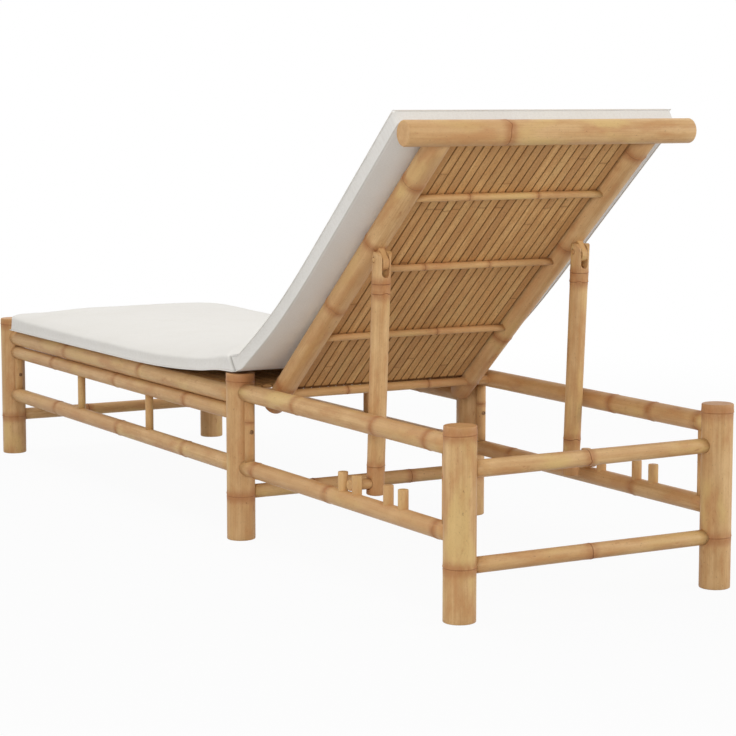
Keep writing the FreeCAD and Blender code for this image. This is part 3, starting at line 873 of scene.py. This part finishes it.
for side, sign in sides.items():
    bolts = []
    for name, panel in panels.items():
        for x, way in panel["sites"]:
            bolts.append(boltMesh())
            face = x + way * (postRadius + strut["clear"] + 2 * strut["radii"][0] - skinInset)
            site = Matrix.Translation((face, sign * place["ySide"], bolt["z"][name]))
            bolts[-1].transform(site @ Matrix.Rotation(way * math.pi / 2, 4, "Y"))
    piece(f"panelBolts.{side}", bolts, "base", [boltSteel], [])

# Camera at the photograph's viewing angle
view = {"at": (3.8897, -2.0812, 0.8212), "yaw": math.radians(29.692), "pitch": math.radians(6.948),
        "lens": 109.23}
level = math.cos(view["pitch"])
look = Vector((-math.cos(view["yaw"]) * level, math.sin(view["yaw"]) * level, -math.sin(view["pitch"])))
camera = linked("Camera", bpy.data.cameras.new("Camera"))
camera.data.lens = view["lens"]
camera.data.sensor_width = 36
camera.data.clip_end = 60
camera.location = view["at"]
camera.rotation_mode = "QUATERNION"
camera.rotation_quaternion = look.to_track_quat("-Z", "Y")
scene.camera = camera

# Pad: seat and back are one folded length
pad = {
    "halfWidth": 0.2765, "drawIn": 0.0045, "bulge": 0.002, "endBulge": 0.0015,
    "height": 4, "across": 46, "stations": 168, "seatShare": 0.6, "crowding": 1.3,  # of stations at the fold
    "seatCrown": 0.017, "backCrown": 0.008, "crownRise": 0.08,
    "droop": -0.003, "droopFrom": 0.84, "droopRise": 14, "wallDroopShare": 0.6,
    "foldDip": 0.004, "foldWidth": 3.0, "pinch": 0.011, "pinchFrom": 0.8, "pinchWidth": 1.1,
    "softIn": 0.003, "softDown": 0.005, "softFrom": 0.94, "softRise": 12,  # the seat's top edge
    "topCap": 0.006, "sideCap": 0.0045, "rimCap": 0.001, "rimSteps": 3,  # how far the swelling may go
    "calmWidth": 4.0, "topCalm": 0.85, "sideCalm": 0.6,  # and how much less at the fold
    "welt": 0.0008, "fill": 0.7,
    "foldX": 0.22, "foldShade": 0.003, "shadeFrom": 0.02, "shadeSide": 0.2,
    # Pairs of an underside and a top point, in X and Z from the foot end to the fold
    "seat": (((-0.9290, 0.2872), (-0.9290, 0.3270)), ((-0.80, 0.2868), (-0.80, 0.3222)),
             ((-0.60, 0.2867), (-0.60, 0.3195)), ((-0.40, 0.2867), (-0.40, 0.3188)),
             ((-0.20, 0.2875), (-0.20, 0.3195)), ((-0.05, 0.2925), (-0.05, 0.3245)),
             ((0.08, 0.3020), (0.0765, 0.3340)), ((0.15, 0.3112), (0.141, 0.3425)),
             ((0.195, 0.3148), (0.180, 0.3462)), ((0.212, 0.3160), (0.194, 0.3478)),
             ((0.2250, 0.3172), (0.2030, 0.3470))),
    # Places along the back, where the pad lies a little higher near the fold
    "back": (0.010, 0.035, 0.08, 0.14, 0.21, 0.30, 0.42, 0.55, 0.67, 0.732),
    "lift": 0.0302, "foldLift": 0.026, "liftReach": 0.32, "liftCurve": 2.2, "thickness": 0.0305,
    "lean": 0.002, "leanReach": 0.15,
}


def backPair(along):
    lift = pad["lift"] + pad["foldLift"] * max(0.0, 1 - along / pad["liftReach"]) ** pad["liftCurve"]
    under = backPoint(along, lift)
    top = backPoint(along - pad["lean"] * max(0.0, 1 - along / pad["leanReach"]), lift + pad["thickness"])
    return (under.x, under.z), (top.x, top.z)


def smoothRow(points, count, ease, finer=24):
    # Points along a Catmull-Rom curve, spaced by a function of their share of its length
    def at(i, t):
        p = [Vector(points[min(len(points) - 1, max(0, i + k))]) for k in (-1, 0, 1, 2)]
        return 0.5 * (2 * p[1] + (p[2] - p[0]) * t + (2 * p[0] - 5 * p[1] + 4 * p[2] - p[3]) * t * t
                      + (3 * p[1] - p[0] - 3 * p[2] + p[3]) * t ** 3)

    fine = [at(i, t / finer) for i in range(len(points) - 1) for t in range(finer)] + [Vector(points[-1])]
    run = [0.0]
    for a, b in zip(fine, fine[1:]):
        run.append(run[-1] + (b - a).length)
    made = []
    k = 0
    for i in range(count + 1):
        want = run[-1] * ease(i / count)
        while k < len(fine) - 2 and run[k + 1] < want:
            k += 1
        span = run[k + 1] - run[k]
        made.append(fine[k].lerp(fine[k + 1], (want - run[k]) / span if span else 0))
    return made


def padStations(pairs, count, ease):
    merged = smoothRow([(*low, *high) for low, high in pairs], count, ease)
    return [(Vector((p[0], p[1])), Vector((p[2], p[3]))) for p in merged]


crease = int(pad["stations"] * pad["seatShare"])
backPairs = [pad["seat"][-1]] + [backPair(along) for along in pad["back"]]
stations = padStations(pad["seat"], crease, lambda t: 1 - (1 - t) ** pad["crowding"])
stations += padStations(backPairs, pad["stations"] - crease, lambda t: t ** pad["crowding"])[1:]
foldWay = (stations[crease][1] - stations[crease][0]).normalized()
lastI, lastJ, lastK = len(stations) - 1, pad["across"], pad["height"]


def beyond(value, start):
    # 0 up to the start, and 1 at the pad's side
    return max(0, value - start) / (1 - start)


def padPoint(i, j, k):
    low, high = stations[i]
    u, v = 2 * j / lastJ - 1, k / lastK
    side = abs(u)
    span = i / crease if i <= crease else (i - crease) / (lastI - crease)
    half = pad["halfWidth"] - pad["drawIn"] * math.sin(math.pi * span)
    half += pad["bulge"] * math.sin(math.pi * v) if side == 1 else 0
    nearFold = bell(i - crease, pad["foldWidth"])
    half -= pad["pinch"] * bell(i - crease, pad["pinchWidth"]) * beyond(side, pad["pinchFrom"])
    # The seat's top edge is soft, and the back's is crisp
    soft = clamped((crease - i) / pad["softRise"]) * v ** 4 * beyond(side, pad["softFrom"])
    half -= pad["softIn"] * soft
    crown = (pad["seatCrown"] if i <= crease else pad["backCrown"]) * (1 - u ** 4) * (k == lastK)
    crown *= min(1, min(span, 1 - span) / pad["crownRise"])
    droop = pad["droop"] * beyond(side, pad["droopFrom"]) * (pad["wallDroopShare"] * (1 - v) if k else 1)
    droop *= min(1, abs(i - crease) / pad["droopRise"])
    up = (high - low).normalized()
    rise = crown * (1 - nearFold) - droop - pad["foldDip"] * nearFold * v - pad["softDown"] * soft
    outward = pad["endBulge"] * math.sin(math.pi * v) * ((i == lastI) - (i == 0))
    point = low.lerp(high, v) + up * rise + Vector((up.y, -up.x)) * outward
    return Vector((point.x, u * half, point.y))


def padMesh():
    mesh = bmesh.new()
    verts = {}

    def addFace(*corners):
        for corner in corners:
            if corner not in verts:
                verts[corner] = mesh.verts.new(padPoint(*corner))
        mesh.faces.new([verts[corner] for corner in corners])

    for i in range(lastI):
        for j in range(lastJ):
            addFace((i, j, lastK), (i + 1, j, lastK), (i + 1, j + 1, lastK), (i, j + 1, lastK))
            addFace((i, j + 1, 0), (i + 1, j + 1, 0), (i + 1, j, 0), (i, j, 0))
        for k in range(lastK):
            addFace((i, 0, k), (i + 1, 0, k), (i + 1, 0, k + 1), (i, 0, k + 1))
            addFace((i, lastJ, k + 1), (i + 1, lastJ, k + 1), (i + 1, lastJ, k), (i, lastJ, k))
    for j in range(lastJ):
        for k in range(lastK):
            addFace((0, j, k), (0, j, k + 1), (0, j + 1, k + 1), (0, j + 1, k))
            addFace((lastI, j + 1, k), (lastI, j + 1, k + 1), (lastI, j, k + 1), (lastI, j, k))
    bmesh.ops.recalc_face_normals(mesh, faces=mesh.faces)
    mesh.verts.index_update()
    order = {key: vert.index for key, vert in verts.items()}
    data = bpy.data.meshes.new("pad")
    mesh.to_mesh(data)
    mesh.free()
    return data, order


swell = {"quality": 6, "mass": 0.25, "use_pressure": True, "uniform_pressure_force": 4,
         "tension_stiffness": 18, "compression_stiffness": 18, "bending_stiffness": 0.6}
swellFrames = 20


def inflate(made, caps):
    # Swell the pad with cloth pressure, and cap how far each point may move
    rest = [vertex.co.copy() for vertex in made.data.vertices]
    cloth = made.modifiers.new("swell", "CLOTH")
    for name, value in swell.items():
        setattr(cloth.settings, name, value)
    cloth.settings.effector_weights.gravity = 0
    cloth.point_cache.frame_end = swellFrames
    for number in range(1, swellFrames + 1):
        scene.frame_set(number)
    graph = bpy.context.evaluated_depsgraph_get()
    moved = []
    for vertex, start, cap in zip(made.evaluated_get(graph).data.vertices, rest, caps):
        push = vertex.co - start
        moved.append(start + push * min(1, cap / push.length) if push.length > 1e-9 else start)
    made.modifiers.clear()
    scene.frame_set(1)
    for vertex, point in zip(made.data.vertices, moved):
        vertex.co = point


def fabricFinish():
    made = Finish("PadCanvas", Specular_IOR_Level=0.25, Sheen_Weight=0.15, Sheen_Roughness=0.5)
    threads = 3600.0
    cloth = made.attribute("cloth", out="Vector")
    split = made.node("SeparateXYZ", {0: cloth})
    across = Flow(made, split.socket.node.outputs["Y"])
    warp = (split * threads).sum("SINE")
    weft = (across * threads).sum("SINE")
    weave = (warp * weft) * 0.5 + 0.5
    slub = made.noise(cloth, (240, 2600, 1), 3) + made.noise(cloth, (2600, 240, 1), 3)
    cloud = made.noise(cloth, (9, 9, 1), 4)
    rumple = made.noise(cloth, (26, 15, 1), 3)
    colour = made.mix(slub.above(0.85, 1.25) * 0.55, srgb(238, 235, 229), srgb(225, 220, 212))
    colour = made.mix(cloud.above(0.45, 0.75) * 0.4, colour, srgb(230, 226, 218))
    # Painted shade along the fold's crease
    colour = made.mix(made.attribute("fold") * 0.9, colour, srgb(104, 99, 92))
    relief = made.bump(weave * 0.5 + slub * 0.5, 0.35, 0.0004)
    relief = made.bump(rumple, 0.3, 0.006, relief)
    return made.show(Base_Color=colour, Roughness=0.86 + slub * 0.04, Normal=relief)


def seamTube(points, closed, sides=8):
    # A thin welt that follows a row of points
    count = len(points)
    loops = []
    normal = None
    for i, point in enumerate(points):
        ahead = points[(i + 1) % count] if closed or i < count - 1 else point
        behind = points[i - 1] if closed or i else point
        way = (ahead - behind).normalized()
        if normal is None:
            normal = way.orthogonal().normalized()
        normal = (normal - way * normal.dot(way)).normalized()
        other = way.cross(normal)
        turns = [math.tau * s / sides for s in range(sides)]
        loops.append([point + (normal * math.cos(turn) + other * math.sin(turn)) * pad["welt"]
                      for turn in turns])
    if closed:
        # The last loop turns to meet the first
        shift = min(range(sides), key=lambda s: (loops[-1][s] - loops[0][0]).length)
        loops.append([loops[0][(s - shift) % sides] for s in range(sides)])
    mesh, spans = spunMesh(len(loops), sides, lambda row, turn: loops[row][turn])
    for face in spans:
        face.smooth = True
    if not closed:
        bmesh.ops.holes_fill(mesh, edges=openEdges(mesh))
    return finished(mesh, "seam")


def padCaps(order):
    # How far the swelling may carry each point: not at all underneath, and least at the fold and the rims
    caps = [0.0] * len(order)
    for (i, j, k), index in order.items():
        calm = bell(i - crease, pad["calmWidth"])
        if k == lastK and 0 < j < lastJ and 0 < i < lastI:
            inner = min(1, min(j, lastJ - j, i, lastI - i) / pad["rimSteps"])
            caps[index] = pad["topCap"] * inner * (1 - pad["topCalm"] * calm)
        elif k == lastK:
            caps[index] = pad["rimCap"]
        elif k:
            caps[index] = pad["sideCap"] * math.sin(math.pi * k / lastK) * (1 - pad["sideCalm"] * calm)
    return caps


def subdivided(made, crisp):
    # The pad with one more level, and crisp edges along its welts
    sharpness = made.data.attributes.new("crease_edge", "FLOAT", "EDGE")
    for edge in made.data.edges:
        if any(edge.vertices[0] in row and edge.vertices[1] in row for row in crisp):
            sharpness.data[edge.index].value = 0.9
    subdivide = made.modifiers.new("smooth", "SUBSURF")
    subdivide.levels = subdivide.render_levels = 1
    graph = bpy.context.evaluated_depsgraph_get()
    result = bpy.data.meshes.new_from_object(made.evaluated_get(graph))
    for polygon in result.polygons:
        polygon.use_smooth = True
    return result


def writeCloth(mesh):
    # Threads run along the pad and across it, and painted shade darkens the fold
    flat, fold = [], []
    for vertex in mesh.vertices:
        x, y, z = vertex.co
        along = math.hypot(x - place["hinge"].x, z - place["hinge"].z)
        flat.extend((along if x > pad["foldX"] else -along, y, 0))
        offset = Vector((x, z)) - stations[crease][0]
        across = abs(offset.x * foldWay.y - offset.y * foldWay.x)
        shaded = abs(y) > pad["shadeSide"] or offset.dot(foldWay) > pad["shadeFrom"]
        fold.append(bell(across, pad["foldShade"]) * shaded)
    writeLayer(mesh, "cloth", flat, "FLOAT_VECTOR")
    writeLayer(mesh, "fold", fold)


def buildPad():
    data, order = padMesh()
    made = linked("foldedPad", data)
    inflate(made, padCaps(order))
    # A welt runs round the underside and round the top of the back
    around = [(i, 0) for i in range(lastI)] + [(lastI, j) for j in range(lastJ)]
    around += [(i, lastJ) for i in range(lastI, 0, -1)] + [(0, j) for j in range(lastJ, 0, -1)]
    roundBack = [(i, 0) for i in range(crease + 1, lastI)] + [(lastI, j) for j in range(lastJ)]
    roundBack += [(i, lastJ) for i in range(lastI, crease, -1)]
    rows = [order[i, j, 0] for i, j in around], [order[i, j, lastK] for i, j in roundBack]
    seams = [seamTube([made.data.vertices[index].co.copy() for index in row], row is rows[0])
             for row in rows]
    result = subdivided(made, [set(row) for row in rows])
    bpy.data.objects.remove(made)
    for mesh in [result] + seams:
        writeCloth(mesh)
    whole = piece("foldedPad", [result] + seams, None, [fabricFinish()], [])
    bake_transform(whole)
    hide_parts("seat_cushion", "back_cushion")
    return whole


foldedPad = buildPad()
print("pad", len(foldedPad.data.vertices))

# Floor: seen directly it is nearly white, and it fades to white further out
studio = {"halfFloor": 30.0, "floorTone": (0.54, 0.54, 0.54, 1), "nearWhite": 0.95,
          "fadeFrom": 1.3, "fadeTo": 3.0, "skyLight": 0.42}
white = (1, 1, 1, 1)
mesh = bmesh.new()
bmesh.ops.create_grid(mesh, x_segments=1, y_segments=1, size=studio["halfFloor"])
floor = linked("studioFloor", finished(mesh, "studioFloor"))
made = Finish("StudioFloor", Roughness=0.9, Specular_IOR_Level=0.0, Base_Color=studio["floorTone"])
floor.data.materials.append(made.material)
spread = made.node("VectorMath", {0: made.node("NewGeometry")}, operation="LENGTH", out="Value")
away = studio["nearWhite"] + spread.above(studio["fadeFrom"], studio["fadeTo"]) * (1 - studio["nearWhite"])
glow = made.node("Emission", {"Color": white, "Strength": 1.0})
shaded = Flow(made, made.surface.outputs[0])
shown = made.node("MixShader", {0: made.seenDirectly() * away, 1: shaded, 2: glow})
made.join(shown, made.nodes["Material Output"].inputs[0])

# Sky: white to the camera, and softer as a light
scene.world = bpy.data.worlds.new("Studio")
scene.world.use_nodes = True
made = Nodes(scene.world.node_tree)
sky = made.nodes["Background"]
made.join(white, sky.inputs["Color"])
made.join(studio["skyLight"] + made.seenDirectly() * (1 - studio["skyLight"]), sky.inputs["Strength"])

lampTarget = (0, 0, 0.3)
lamps = {
    "topLamp": {"at": (-1.0, -0.6, 3.8), "width": 2.5, "watts": 60},
    "rightLamp": {"at": (2.7, 3.3, 1.6), "width": 2.0, "watts": 68},
    "leftLamp": {"at": (-0.3, -4.4, 1.8), "width": 2.0, "watts": 20},
    "frontLamp": {"at": (3.4, -2.6, 1.2), "width": 1.6, "watts": 47},
}
for name, values in lamps.items():
    lamp = linked(name, bpy.data.lights.new(name, "AREA"))
    lamp.data.shape = "SQUARE"
    lamp.data.size = values["width"]
    lamp.data.energy = values["watts"]
    lamp.location = values["at"]
    lamp.rotation_mode = "QUATERNION"
    lamp.rotation_quaternion = (Vector(lampTarget) - lamp.location).to_track_quat("-Z", "Y")
scene.view_settings.view_transform = "Standard"
